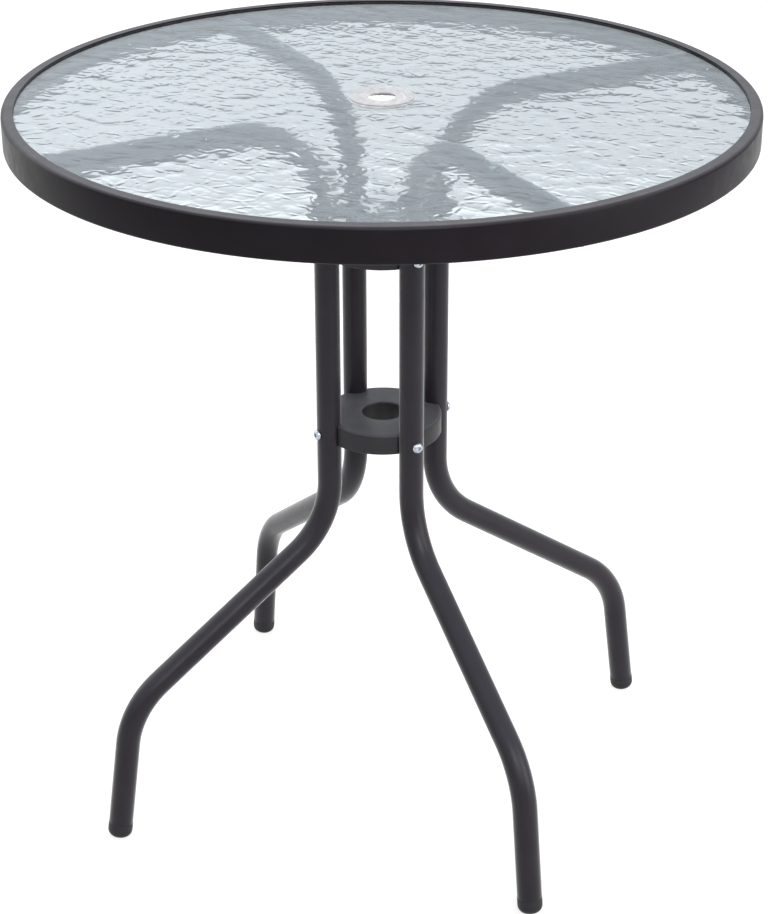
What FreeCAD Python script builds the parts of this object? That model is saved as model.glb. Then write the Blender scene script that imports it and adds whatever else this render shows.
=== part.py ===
import FreeCAD, Part
import math
import os

# Round glass table on four bent tube legs, with a hole for an umbrella pole. Millimetres.
# The origin is on the floor under the middle of the table and +Z is up. The legs stand on the
# diagonals, so that -Y is the side where someone sits between two of them.

# Table
table_height = 728.0        # floor to the top of the rim
leg_count = 4
first_leg_angle = -45.0     # from +X, the front right leg

# Rim, a rolled steel channel that opens inward
rim_radius = 350.0          # outside
rim_height = 33.0
rim_steel = 1.5
rim_lip_width = 11.5        # lies over the edge of the glass
rim_return_width = 6.0      # turned in below
rim_top_round = 4.0         # outside radius of the upper bend
rim_foot_round = 3.0        # outside radius of the lower bend
rim_edge_round = 0.4        # on the bare edge of the lip

# Glass and the silicone that holds it in the rim
glass_thickness = 5.0
glass_edge_gap = 1.5        # edge of the glass to the wall of the rim
glass_arris = 0.8           # ground off all edges at 45 degrees
glass_hole_radius = 23.0
seal_bed = 0.6              # silicone between lip and glass
seal_setback = 0.5          # silicone stays behind the edge of the lip
seal_bead_width = 4.5       # bead under the glass, along the rim
seal_wall_gap = 0.3         # strip to the wall and the upper bend of the steel
seal_arm_gap = 0.3          # bead to the top of the arms

# Umbrella ring, a moulding that snaps into the hole of the glass
ring_flange_radius = 31.5
ring_flange_thickness = 1.8
ring_flange_round = 0.8
ring_pole_radius = 13.0     # thin edged hole in the web
ring_web_thickness = 1.6
ring_edge_round = 0.3
ring_web_step = 0.5         # the web lies this much below the flange
ring_collar_wall = 2.0
ring_collar_gap = 0.4       # collar to the hole of the glass
ring_collar_below = 6.0     # collar stands out under the glass
ring_snap_height = 1.0      # the bead reaches this much past the collar
ring_snap_taper = 1.5       # the collar draws in this much below the bead

# Leg tubes, bent from one length each
tube_radius = 12.0
tube_wall = 1.5
tube_bend_radius = 88.0     # centre line, all three bends
column_radius = 59.5        # upright stretch, from the middle of the table
waist_height = 297.0        # corner where the leg turns outward
knee_radius = 282.0         # corner where the leg turns down again
knee_height = 142.0
foot_radius = 302.0         # where the centre line meets the floor
arm_rim_gap = 0.3           # end of the arm to the wall of the rim
rim_notch_gap = 0.6         # round the arm, where it passes the return of the rim

# Foot caps
cap_height = 15.0           # end of the tube to the floor, along the leg
cap_round = 7.0
cap_sole = 0.4              # what the floor flat takes off the dome
cap_plug_gap = 0.3
cap_plug_length = 20.0
cap_plug_wall = 2.0
cap_plug_round = 0.8
cap_base_thickness = 4.0    # plastic between dome and hollow plug, above the end of the tube

# Hubs, two equal mouldings that hold the columns apart and guide the pole
hub_radius = 58.0
hub_thickness = 21.0
hub_edge_round = 3.0
hub_bore_radius = 20.5
hub_bore_round = 2.0
hub_seat_gap = 0.3          # leg to its half round seat
hub_top_plate = 4.0         # left above the cored underside
hub_wall = 3.0
hub_boss_wall = 4.0         # round the bore
hub_rib = 2.5
hub_rib_recess = 2.0        # ribs end this much above the underside
hub_bolt_boss_width = 16.0
lower_hub_middle = 395.5
upper_hub_middle = 587.0

# Bolts and nuts
bolt_radius = 3.0
bolt_hole_gap = 0.3
bolt_tip_chamfer = 0.8
bolt_head_radius = 5.25
bolt_head_height = 3.3
bolt_head_round = 2.7
bolt_socket_width = 4.0
bolt_socket_depth = 1.9
thread_gap = 0.1            # between the thread and what it is screwed into
hub_bolt_length = 40.0
nut_width = 10.0            # across the flats
nut_thickness = 5.0
nut_chamfer = 0.6
nut_slot_gap = 0.3
nut_to_bolt_tip = 3.0       # the bolt stands out of the nut

# Stubs in the rim and the screws that lock the arms on them
stub_length = 36.0
stub_wall = 2.5
stub_gap = 0.3              # stub to the inside of the arm
arm_screw_length = 9.0
arm_screw_from_rim = 20.0

# Pads between the arms and the glass
pad_radius = 5.5
pad_height = 2.0            # over the top of the arm
pad_place_radius = 209.0

# Heights and places that follow
rim_inner_radius = rim_radius - rim_steel
rim_bottom = table_height - rim_height
lip_underside = table_height - rim_steel
glass_radius = rim_inner_radius - glass_edge_gap
glass_top_face = lip_underside - seal_bed
glass_underside = glass_top_face - glass_thickness
arm_height = glass_underside - pad_height - tube_radius
arm_end_radius = math.sqrt((rim_inner_radius - arm_rim_gap) ** 2 - tube_radius ** 2)
stub_radius = tube_radius - tube_wall - stub_gap
bolt_hole_radius = bolt_radius + bolt_hole_gap
bolt_seat_radius = column_radius + tube_radius
nut_centre_radius = bolt_seat_radius - hub_bolt_length + nut_to_bolt_tip + nut_thickness / 2
full_turn = 360.0
up = FreeCAD.Vector(0, 0, 1)
outward = FreeCAD.Vector(1, 0, 0)
middle = FreeCAD.Vector(0, 0, 0)


# Shapes that every piece is made with

def point(radius, height):
    return FreeCAD.Vector(radius, 0, height)


def bend_points(before, corner, after, radius):
    # Start, middle and end of the arc that rounds a corner
    back = (before - corner).normalize()
    ahead = (after - corner).normalize()
    half_angle = back.getAngle(ahead) / 2
    inward = (back + ahead).normalize()
    reach = radius / math.tan(half_angle)
    top = corner + inward * (radius / math.sin(half_angle) - radius)
    return [corner + back * reach, top, corner + ahead * reach]


def rounded_wire(corners, closed):
    # Corners are (radius, height, round); straight runs are joined by tangent arcs
    places = [point(radius, height) for radius, height, bend in corners]
    edges = []
    stops = []
    for index, (radius, height, bend) in enumerate(corners):
        is_end = not closed and index in (0, len(corners) - 1)
        if bend <= 0 or is_end:
            stops.append([places[index], places[index]])
            continue
        following = places[(index + 1) % len(places)]
        start, top, end = bend_points(places[index - 1], places[index], following, bend)
        stops.append([start, end])
        edges.append(Part.Arc(start, top, end).toShape())
    for index in range(len(stops) if closed else len(stops) - 1):
        start = stops[index][1]
        end = stops[(index + 1) % len(stops)][0]
        if start.distanceToPoint(end) > Part.Precision.confusion():
            edges.append(Part.LineSegment(start, end).toShape())
    return Part.Wire(Part.__sortEdges__(edges))


def turned(corners):
    # A closed outline turned round the Z axis
    return Part.Face(rounded_wire(corners, True)).revolve(middle, up, full_turn)


def rod(radius, start, end):
    return Part.makeCylinder(radius, start.distanceToPoint(end), start, end - start)


def block(length, width, height, centre):
    corner = centre - FreeCAD.Vector(length, width, height) / 2
    return Part.makeBox(length, width, height, corner)


def hexagon_prism(width, height):
    # Stands on the XY plane, measured across its flats
    reach = width / 2 / math.cos(math.pi / 6)
    angles = [math.radians(60 * side) for side in range(7)]
    corners = [FreeCAD.Vector(reach * math.cos(a), reach * math.sin(a), 0) for a in angles]
    return Part.Face(Part.makePolygon(corners)).extrude(up * height)


def placed(shape, direction, place):
    # Turns the shape's own Z axis to the direction and moves its origin to the place
    copy = shape.copy()
    copy.Placement = FreeCAD.Placement(place, FreeCAD.Rotation(up, direction))
    return copy


def leg_angle(index):
    return first_leg_angle + index * full_turn / leg_count


def at_leg(shape, index):
    # Pieces of a leg are drawn along +X and turned to their own leg
    copy = shape.copy()
    copy.rotate(middle, up, leg_angle(index))
    return copy


def round_the_legs(shape):
    return [at_leg(shape, index) for index in range(leg_count)]


# Fasteners

def button_bolt(length):
    # The head lies above the XY plane and the shank below it
    bolt = turned([
        (0, -length, 0),
        (bolt_radius - bolt_tip_chamfer, -length, 0),
        (bolt_radius, bolt_tip_chamfer - length, 0),
        (bolt_radius, 0, 0),
        (bolt_head_radius, 0, 0),
        (bolt_head_radius, bolt_head_height, bolt_head_round),
        (0, bolt_head_height, 0),
    ])
    socket = hexagon_prism(bolt_socket_width, bolt_socket_depth)
    socket.translate(up * (bolt_head_height - bolt_socket_depth))
    return bolt.cut(socket)


def hexagon_nut():
    # Centred on the origin with its bore along Z
    body = hexagon_prism(nut_width, nut_thickness)
    corner_radius = nut_width / 2 / math.cos(math.pi / 6)
    envelope = turned([
        (0, 0, 0),
        (corner_radius - nut_chamfer, 0, 0),
        (corner_radius, nut_chamfer, 0),
        (corner_radius, nut_thickness - nut_chamfer, 0),
        (corner_radius - nut_chamfer, nut_thickness, 0),
        (0, nut_thickness, 0),
    ])
    bore = Part.makeCylinder(bolt_radius + thread_gap, nut_thickness)
    nut = body.common(envelope).cut(bore)
    nut.translate(up * (-nut_thickness / 2))
    return nut


def hub_bolts(hub_middle):
    bolt = placed(button_bolt(hub_bolt_length), outward, point(bolt_seat_radius, hub_middle))
    return Part.makeCompound(round_the_legs(bolt))


def hub_nuts(hub_middle):
    nut = placed(hexagon_nut(), outward, point(nut_centre_radius, hub_middle))
    return Part.makeCompound(round_the_legs(nut))


# Top

def arm_bar(radius, reach):
    # Straight bar on the centre line of an arm, from its own reach out to the rim
    return rod(radius, point(reach, arm_height), point(rim_inner_radius, arm_height))


def arm_notch(start):
    # Lets an arm through the return of the rim, up to the wall
    end = arm_end_radius + arm_rim_gap / 2
    width = 2 * (tube_radius + rim_notch_gap)
    height = 2 * (rim_foot_round + rim_steel)
    return block(end - start, width, height, point((start + end) / 2, rim_bottom))


def rim():
    lip_edge = rim_radius - rim_lip_width
    return_edge = rim_radius - rim_return_width
    channel = turned([
        (rim_radius, rim_bottom, rim_foot_round),
        (rim_radius, table_height, rim_top_round),
        (lip_edge, table_height, rim_edge_round),
        (lip_edge, lip_underside, rim_edge_round),
        (rim_inner_radius, lip_underside, rim_top_round - rim_steel),
        (rim_inner_radius, rim_bottom + rim_steel, rim_foot_round - rim_steel),
        (return_edge, rim_bottom + rim_steel, 0),
        (return_edge, rim_bottom, 0),
    ])
    return channel.cut(round_the_legs(arm_notch(return_edge - rim_return_width)))


def glass_top():
    low = glass_underside + glass_arris
    high = glass_top_face - glass_arris
    return turned([
        (glass_hole_radius + glass_arris, glass_underside, 0),
        (glass_radius - glass_arris, glass_underside, 0),
        (glass_radius, low, 0),
        (glass_radius, high, 0),
        (glass_radius - glass_arris, glass_top_face, 0),
        (glass_hole_radius + glass_arris, glass_top_face, 0),
        (glass_hole_radius, high, 0),
        (glass_hole_radius, low, 0),
    ])


def glass_seal():
    # Bed under the lip, skirt round the edge of the glass and a bead below it. It follows the
    # bend of the steel in two straight steps
    bead_bottom = arm_height + tube_radius + seal_arm_gap
    inner_edge = rim_radius - rim_lip_width + seal_setback
    outer_edge = rim_inner_radius - seal_wall_gap
    bend = rim_top_round - rim_steel
    step = bend * (1 - math.sqrt(0.5))
    return turned([
        (inner_edge, lip_underside, 0),
        (outer_edge - bend, lip_underside, 0),
        (outer_edge - step, lip_underside - step, 0),
        (outer_edge, lip_underside - bend, 0),
        (outer_edge, bead_bottom, 0),
        (rim_inner_radius - seal_bead_width, glass_underside, 0),
        (glass_radius - glass_arris, glass_underside, 0),
        (glass_radius, glass_underside + glass_arris, 0),
        (glass_radius, glass_top_face - glass_arris, 0),
        (glass_radius - glass_arris, glass_top_face, 0),
        (inner_edge, glass_top_face, 0),
    ])


def umbrella_ring():
    flange_top = glass_top_face + ring_flange_thickness
    web_top = flange_top - ring_web_step
    web_underside = web_top - ring_web_thickness
    collar_radius = glass_hole_radius - ring_collar_gap
    collar_inside = collar_radius - ring_collar_wall
    snap_top = glass_underside - ring_collar_gap
    collar_end = glass_underside - ring_collar_below
    return turned([
        (ring_pole_radius, web_top, ring_edge_round),
        (collar_radius - ring_web_step, web_top, 0),
        (collar_radius, flange_top, 0),
        (ring_flange_radius, flange_top, ring_flange_round),
        (ring_flange_radius, glass_top_face, 0),
        (collar_radius, glass_top_face, 0),
        (collar_radius, snap_top, 0),
        (collar_radius + ring_snap_height, snap_top - ring_snap_height, 0),
        (collar_radius - ring_snap_taper / 2, collar_end, 0),
        (collar_inside, collar_end, 0),
        (collar_inside, web_underside, ring_web_thickness),
        (ring_pole_radius, web_underside, ring_edge_round),
    ])


def glass_pads():
    blank = rod(pad_radius, point(pad_place_radius, arm_height), point(pad_place_radius, glass_underside))
    pad = blank.cut(arm_bar(tube_radius, column_radius))
    return Part.makeCompound(round_the_legs(pad))


# Legs

def foot_direction():
    # Up the lowest run of a leg
    return (point(knee_radius, knee_height) - point(foot_radius, 0)).normalize()


def tube_end():
    return point(foot_radius, 0) + foot_direction() * cap_height


def leg_sweep(radius):
    end = tube_end()
    path = rounded_wire([
        (arm_end_radius, arm_height, 0),
        (column_radius, arm_height, tube_bend_radius),
        (column_radius, waist_height, tube_bend_radius),
        (knee_radius, knee_height, tube_bend_radius),
        (end.x, end.z, 0),
    ], False)
    start = point(arm_end_radius, arm_height)
    section = Part.Wire(Part.Circle(start, outward, radius).toShape())
    return path.makePipeShell([section], True, False)


def leg():
    tube = leg_sweep(tube_radius).cut(leg_sweep(tube_radius - tube_wall))
    bolt_holes = [
        rod(bolt_hole_radius,
            point(column_radius - tube_radius * 2, height), point(column_radius + tube_radius * 2, height))
        for height in (lower_hub_middle, upper_hub_middle)]
    screw_radius = rim_inner_radius - arm_screw_from_rim
    screw_hole = rod(bolt_hole_radius,
                     point(screw_radius, arm_height - tube_radius * 2), point(screw_radius, arm_height))
    return tube.cut(bolt_holes + [screw_hole])


def foot_cap():
    plug_radius = tube_radius - tube_wall - cap_plug_gap
    dome_length = cap_height + cap_sole
    cap = turned([
        (0, -dome_length, 0),
        (tube_radius, -dome_length, cap_round),
        (tube_radius, 0, 0),
        (plug_radius, 0, 0),
        (plug_radius, cap_plug_length, cap_plug_round),
        (plug_radius - cap_plug_wall, cap_plug_length, 0),
        (plug_radius - cap_plug_wall, cap_base_thickness, 0),
        (0, cap_base_thickness, 0),
    ])
    cap = placed(cap, foot_direction(), tube_end())
    floor = block(cap_height * 4, cap_height * 4, cap_height, point(foot_radius, -cap_height / 2))
    return cap.cut(floor)


def rim_stub():
    stub = arm_bar(stub_radius, rim_inner_radius - stub_length)
    stub = stub.cut(arm_bar(stub_radius - stub_wall, rim_inner_radius - stub_length))
    screw_radius = rim_inner_radius - arm_screw_from_rim
    tapping = rod(bolt_radius + thread_gap,
                  point(screw_radius, arm_height - tube_radius), point(screw_radius, arm_height))
    inside = Part.makeCylinder(rim_inner_radius, table_height)
    return stub.cut(tapping).common(inside)


def arm_screws():
    screw_radius = rim_inner_radius - arm_screw_from_rim
    screw = placed(button_bolt(arm_screw_length), up * -1,
                   point(screw_radius, arm_height - tube_radius))
    return Part.makeCompound(round_the_legs(screw))


# Hubs

def hub_core(bottom):
    # What the mould leaves out of the underside: a ring, less the walls round the leg seats,
    # the blocks that hold the nuts and the ribs between them
    depth = hub_thickness - hub_top_plate
    base = point(0, bottom)
    core = Part.makeCylinder(hub_radius - hub_wall, depth, base)
    core = core.cut(Part.makeCylinder(hub_bore_radius + hub_boss_wall, depth, base))
    seat_wall = Part.makeCylinder(tube_radius + hub_seat_gap + hub_wall, depth, point(column_radius, bottom))
    bolt_boss = block(hub_radius, hub_bolt_boss_width, depth, point(hub_radius / 2, bottom + depth / 2))
    rib_height = depth - hub_rib_recess
    rib = block(hub_radius, hub_rib, rib_height,
                point(hub_radius / 2, bottom + depth - rib_height / 2))
    rib.rotate(middle, up, full_turn / leg_count / 2)
    return core.cut(round_the_legs(seat_wall) + round_the_legs(bolt_boss) + round_the_legs(rib))


def nut_slot(hub_middle):
    # Open to the underside, with a hexagonal end that keeps the nut from turning
    hexagon = hexagon_prism(nut_width + nut_slot_gap, nut_thickness + nut_slot_gap)
    hexagon.translate(up * (-(nut_thickness + nut_slot_gap) / 2))
    hexagon = placed(hexagon, outward, point(nut_centre_radius, hub_middle))
    drop = block(nut_thickness + nut_slot_gap, nut_width + nut_slot_gap, hub_thickness / 2,
                 point(nut_centre_radius, hub_middle - hub_thickness / 4))
    return hexagon.fuse(drop)


def hub(hub_middle):
    bottom = hub_middle - hub_thickness / 2
    top = hub_middle + hub_thickness / 2
    disc = turned([
        (hub_bore_radius, bottom, hub_bore_round),
        (hub_radius, bottom, hub_edge_round / 2),
        (hub_radius, top, hub_edge_round),
        (hub_bore_radius, top, hub_bore_round),
    ])
    seat = Part.makeCylinder(tube_radius + hub_seat_gap, hub_thickness, point(column_radius, bottom))
    bolt_hole = rod(bolt_hole_radius,
                    point(hub_bore_radius + hub_boss_wall, hub_middle), point(hub_radius, hub_middle))
    cuts = [hub_core(bottom)] + round_the_legs(seat)
    cuts += round_the_legs(bolt_hole) + round_the_legs(nut_slot(hub_middle))
    return disc.cut(cuts)


# All pieces under their names

leg_names = ["front_right", "back_right", "back_left", "front_left"]


def all_pieces():
    pieces = {
        "rim": rim(),
        "glass_top": glass_top(),
        "glass_seal": glass_seal(),
        "umbrella_ring": umbrella_ring(),
        "glass_pads": glass_pads(),
        "arm_screws": arm_screws(),
    }
    for name, hub_middle in (("upper_hub", upper_hub_middle), ("lower_hub", lower_hub_middle)):
        pieces[name] = hub(hub_middle)
        pieces[name + "_bolts"] = hub_bolts(hub_middle)
        pieces[name + "_nuts"] = hub_nuts(hub_middle)
    for prefix, shape in (("leg_", leg()), ("foot_cap_", foot_cap()), ("rim_stub_", rim_stub())):
        for index in range(leg_count):
            pieces[prefix + leg_names[index]] = at_leg(shape, index)
    return pieces


os.makedirs("parts", exist_ok=True)
for piece_name, piece in all_pieces().items():
    piece.exportStep("parts/" + piece_name + ".step")
    print(piece_name, "solids", len(piece.Solids), "valid", piece.isValid(), "volume", round(piece.Volume))
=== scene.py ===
import math

import bmesh
import bpy
from mathutils import Matrix, Vector


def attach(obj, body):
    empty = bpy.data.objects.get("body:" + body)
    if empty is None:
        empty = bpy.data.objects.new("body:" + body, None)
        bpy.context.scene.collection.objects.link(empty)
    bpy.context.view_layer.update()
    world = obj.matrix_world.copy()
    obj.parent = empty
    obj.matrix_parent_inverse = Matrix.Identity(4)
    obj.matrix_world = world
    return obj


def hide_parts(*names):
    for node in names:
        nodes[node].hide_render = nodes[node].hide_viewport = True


# Round bistro table: rippled glass in a rolled steel rim, four bent tube legs, two moulded hubs.
# Metres, in the frame of the CAD model: the floor is z = 0 and the legs stand on the diagonals.

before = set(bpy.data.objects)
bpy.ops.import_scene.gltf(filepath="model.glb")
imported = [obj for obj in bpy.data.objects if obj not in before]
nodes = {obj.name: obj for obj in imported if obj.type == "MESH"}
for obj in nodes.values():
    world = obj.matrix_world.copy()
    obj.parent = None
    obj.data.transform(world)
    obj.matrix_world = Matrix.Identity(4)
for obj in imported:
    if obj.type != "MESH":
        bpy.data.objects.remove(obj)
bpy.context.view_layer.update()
scene = bpy.context.scene
legNames = ["front_right", "back_right", "back_left", "front_left"]

table = {
    "height": 0.728,                # floor to the top of the rim
    "legCount": 4,
    "firstLeg": math.radians(-45),
    "playGap": 0.00005,             # keeps faces that touch from lying in each other
}
onAxis = 1e-7                       # a smaller radius counts as a point on the axis


# Node trees

def newTree(treeName, inputs):
    tree = bpy.data.node_groups.new(treeName, "GeometryNodeTree")
    tree.interface.new_socket("Geometry", in_out="INPUT", socket_type="NodeSocketGeometry")
    for label, kind, value in inputs:
        socket = tree.interface.new_socket(label, in_out="INPUT", socket_type="NodeSocket" + kind)
        if value is not None:
            socket.default_value = value
    tree.interface.new_socket("Geometry", in_out="OUTPUT", socket_type="NodeSocketGeometry")
    return tree, tree.nodes.new("NodeGroupInput").outputs


def put(tree, kind, inputs=None, **settings):
    # One node, with its settings and with its inputs linked or set
    node = tree.nodes.new(kind)
    for setting, value in settings.items():
        setattr(node, setting, value)
    for key, value in (inputs or {}).items():
        if isinstance(value, bpy.types.NodeSocket):
            tree.links.new(value, node.inputs[key])
        else:
            node.inputs[key].default_value = value
    return node


def sums(tree, operation, first, second=0.0):
    return put(tree, "ShaderNodeMath", {0: first, 1: second}, operation=operation).outputs[0]


def vectors(tree, operation, first, second):
    return put(tree, "ShaderNodeVectorMath", {0: first, 1: second}, operation=operation).outputs[0]


def stretched(tree, vector, amount):
    return put(tree, "ShaderNodeVectorMath", {0: vector, "Scale": amount}, operation="SCALE").outputs[0]


def lengthOf(tree, vector):
    return put(tree, "ShaderNodeVectorMath", {0: vector}, operation="LENGTH").outputs["Value"]


def heightOf(tree, vector):
    return put(tree, "ShaderNodeSeparateXYZ", {0: vector}).outputs["Z"]


def straightUp(tree, height):
    return put(tree, "ShaderNodeCombineXYZ", {"Z": height}).outputs[0]


def blend(tree, amount, first, second):
    return put(tree, "ShaderNodeMix", {0: amount, 2: first, 3: second}).outputs[0]


def mapped(tree, value, span, results=(0.0, 1.0), curve="LINEAR"):
    # Takes a value from one span to another and holds it at both ends
    return put(tree, "ShaderNodeMapRange", {
        "Value": value, "From Min": span[0], "From Max": span[1],
        "To Min": results[0], "To Max": results[1]}, interpolation_type=curve).outputs[0]


def closeTree(tree, geometry, material):
    # Every tree ends the same way
    real = put(tree, "GeometryNodeRealizeInstances", {"Geometry": geometry})
    dressed = put(tree, "GeometryNodeSetMaterial", {"Geometry": real.outputs[0], "Material": material})
    output = tree.nodes.new("NodeGroupOutput")
    tree.links.new(dressed.outputs[0], output.inputs[0])


def grow(pieceName, tree, values, source=None):
    # Runs a tree on a source and keeps the result as a plain mesh
    holder = bpy.data.objects.new(pieceName + "Source", source or bpy.data.meshes.new("empty"))
    scene.collection.objects.link(holder)
    modifier = holder.modifiers.new("grow", "NODES")
    modifier.node_group = tree
    for socket in tree.interface.items_tree:
        if socket.in_out == "INPUT" and socket.name in values:
            modifier[socket.identifier] = values[socket.name]
    depsgraph = bpy.context.evaluated_depsgraph_get()
    mesh = bpy.data.meshes.new_from_object(holder.evaluated_get(depsgraph), depsgraph=depsgraph)
    bpy.data.objects.remove(holder)
    return addPiece(pieceName, mesh)


# Meshes

def addPiece(pieceName, mesh):
    mesh.name = pieceName
    piece = bpy.data.objects.new(pieceName, mesh)
    scene.collection.objects.link(piece)
    return piece


def tidyMesh(mesh, merge=1e-6):
    # Closes seams and turns all faces outwards
    shape = bmesh.new()
    shape.from_mesh(mesh)
    bmesh.ops.remove_doubles(shape, verts=shape.verts, dist=merge)
    bmesh.ops.recalc_face_normals(shape, faces=shape.faces)
    shape.to_mesh(mesh)
    shape.free()
    return mesh


def finishedMesh(meshName, shape):
    mesh = bpy.data.meshes.new(meshName)
    shape.to_mesh(mesh)
    shape.free()
    return mesh


def smooth(piece, angle=35):
    piece.data.shade_smooth()
    piece.data.set_sharp_from_angle(angle=math.radians(angle))


def paint(piece, material):
    piece.data.materials.clear()
    piece.data.materials.append(material)


def dress(piece, *replaced, material=None):
    # The piece rides on the table and stands for its CAD nodes; a grown one has its finish already
    if material:
        paint(piece, material)
    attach(piece, "root")
    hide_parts(*replaced)


def roundedOutline(corners, arcSteps=6):
    # Corners are (radius, height, round); each rounded corner becomes an arc
    points = []
    for index, (radius, height, bend) in enumerate(corners):
        corner = Vector((radius, height))
        if bend <= 0:
            points.append(corner)
            continue
        back = (Vector(corners[index - 1][:2]) - corner).normalized()
        ahead = (Vector(corners[(index + 1) % len(corners)][:2]) - corner).normalized()
        half = back.angle(ahead) / 2
        centre = corner + (back + ahead).normalized() * bend / math.sin(half)
        start = corner + back * bend / math.tan(half) - centre
        turn = math.pi - 2 * half
        if start.x * ahead.y - start.y * ahead.x < 0:
            turn = -turn
        for step in range(arcSteps + 1):
            angle = turn * step / arcSteps
            spun = Vector((start.x * math.cos(angle) - start.y * math.sin(angle),
                           start.x * math.sin(angle) + start.y * math.cos(angle)))
            points.append(centre + spun)
    return points


def anglesOf(steps):
    return [2 * math.pi * step / steps for step in range(steps)]


def joinRings(shape, pairs):
    # Faces between neighbouring rings; a ring that is one point gives triangles
    for lower, upper in pairs:
        for step in range(len(lower)):
            following = (step + 1) % len(lower)
            corners = [lower[step], lower[following], upper[following], upper[step]]
            corners = list(dict.fromkeys(corners))
            if len(corners) > 2:
                shape.faces.new(corners)


def turnedMesh(meshName, outline, steps, closed=False):
    # A ring of vertices for each outline point; points on the axis close the ends
    shape = bmesh.new()
    rings = []
    for point in outline:
        if point.x < onAxis:
            rings.append([shape.verts.new((0, 0, point.y))] * steps)
            continue
        rings.append([shape.verts.new((point.x * math.cos(angle), point.x * math.sin(angle), point.y))
                      for angle in anglesOf(steps)])
    pairs = list(zip(rings, rings[1:]))
    if closed:
        pairs.append((rings[-1], rings[0]))
    joinRings(shape, pairs)
    return tidyMesh(finishedMesh(meshName, shape))


def polyCurve(curveName, corners):
    curve = bpy.data.curves.new(curveName, "CURVE")
    curve.dimensions = "3D"
    spline = curve.splines.new("POLY")
    spline.points.add(len(corners) - 1)
    for target, corner in zip(spline.points, corners):
        target.co = (*corner, 1)
    return curve


# Materials

finish = {
    "noiseSpan": (0.3, 0.7),        # most values of the noise lie in it
    "paler": 1.25,                  # light patches of a coat or a moulding
    "roughnessDrift": (-0.04, 0.05),    # least and most that patches add
    "dustAndTopLightSlope": (0.35, 0.95),      # how far a face looks up, from the first dust and painted top light to the full one
    "dustAndTopLightSize": 0.02,
    "dustAndTopLightLeast": 0.75,
    "coatMottle": 0.03,
    "coatWear": 0.012,
    "coatPeel": (0.0022, 0.00003),  # size and depth, here and below
    "coatGrain": (0.0006, 0.00001),
    "sheenRoughness": 0.35,
    "mouldFlow": 0.025,
    "mouldStretch": (1, 1, 2.5),
    "mouldWear": 0.008,
    "mouldGloss": 0.25,
    "mouldDepth": 0.03,             # share of the grain's size
    "zincCloud": 0.003,
    "zincLight": (0.50, 0.53, 0.57),
    "zincDull": (0.36, 0.40, 0.46),
    "zincDrift": (-0.06, 0.1),
    "zincGrain": (0.0008, 0.00001),
    "vinylRefraction": 1.45,
    "vinylClear": (0.99, 0.98, 0.985),
    "vinylCloud": 0.006,
    "vinylLeastHaze": 0.6,
    "vinylThinWall": 0.12,          # how solid the clear wall looks
    "vinylFade": 0.0005,            # height over which the clear wall ends
    "vinylGrain": (0.0015, 0.00002),
    "siliconeSmear": (0.006, 0.0002),
    "siliconeColours": ((0.012, 0.012, 0.013), (0.02, 0.02, 0.021)),
    "siliconeRoughness": (0.35, 0.5),
}


def newMaterial(materialName):
    material = bpy.data.materials.new(materialName)
    material.use_nodes = True
    tree = material.node_tree
    return material, tree, tree.nodes["Principled BSDF"]


def ownPlace(tree):
    # Each piece's own space, so that a texture stays on it when it moves
    return put(tree, "ShaderNodeTexCoord").outputs["Object"]


def spots(tree, size, detail=3.0, stretch=(1, 1, 1)):
    # Noise in the piece's own space, with a feature size in metres
    place = vectors(tree, "MULTIPLY", ownPlace(tree), stretch)
    noise = put(tree, "ShaderNodeTexNoise", {"Vector": place, "Scale": 1 / size, "Detail": detail})
    return noise.outputs["Fac"]


def between(tree, noise, low, high):
    return mapped(tree, noise, finish["noiseSpan"], (low, high))


def blendColours(tree, amount, first, second):
    # A colour is red, green and blue, or comes from another node
    ends = [end if isinstance(end, bpy.types.NodeSocket) else (*end, 1) for end in (first, second)]
    return put(tree, "ShaderNodeMix", {0: amount, 6: ends[0], 7: ends[1]}, data_type="RGBA").outputs[2]


def mottled(tree, noise, colour):
    # The colour with paler patches
    return blendColours(tree, between(tree, noise, 0, 1), colour, [part * finish["paler"] for part in colour])


def dustedAndToplit(tree, colour, dustAndTopLight):
    # Dust, wear and a painted top light lighten whatever faces up
    normal = put(tree, "ShaderNodeNewGeometry").outputs["Normal"]
    lying = mapped(tree, heightOf(tree, normal), finish["dustAndTopLightSlope"])
    cover = between(tree, spots(tree, finish["dustAndTopLightSize"]), finish["dustAndTopLightLeast"], 1.0)
    return blendColours(tree, sums(tree, "MULTIPLY", lying, cover), colour, dustAndTopLight)


def drifting(tree, noise, roughness, drift):
    return between(tree, noise, roughness + drift[0], roughness + drift[1])


def relief(tree, shader, layers):
    # Bumps on top of each other; each layer is (height, depth in metres)
    normal = None
    for height, depth in layers:
        bump = put(tree, "ShaderNodeBump", {"Height": height, "Distance": depth, "Strength": 1.0})
        if normal:
            tree.links.new(normal, bump.inputs["Normal"])
        normal = bump.outputs[0]
    tree.links.new(normal, shader.inputs["Normal"])


def grainLayer(tree, sizeAndDepth, detail=3.0):
    size, depth = sizeAndDepth
    return spots(tree, size, detail), depth


def powderCoat(materialName, colour, dustAndTopLight, roughness, gloss, sheen=0.0):
    # Sprayed and baked: slight orange peel over a finer grain, a little dust with a painted top light, and
    # rubbed patches
    material, tree, shader = newMaterial(materialName)
    coat = mottled(tree, spots(tree, finish["coatMottle"]), colour)
    tree.links.new(dustedAndToplit(tree, coat, dustAndTopLight), shader.inputs["Base Color"])
    wear = drifting(tree, spots(tree, finish["coatWear"]), roughness, finish["roughnessDrift"])
    tree.links.new(wear, shader.inputs["Roughness"])
    shader.inputs["Specular IOR Level"].default_value = gloss
    shader.inputs["Sheen Weight"].default_value = sheen
    shader.inputs["Sheen Roughness"].default_value = finish["sheenRoughness"]
    peel = grainLayer(tree, finish["coatPeel"], detail=2.0)
    grain = grainLayer(tree, finish["coatGrain"], detail=1.0)
    relief(tree, shader, [peel, grain])
    return material


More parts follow.
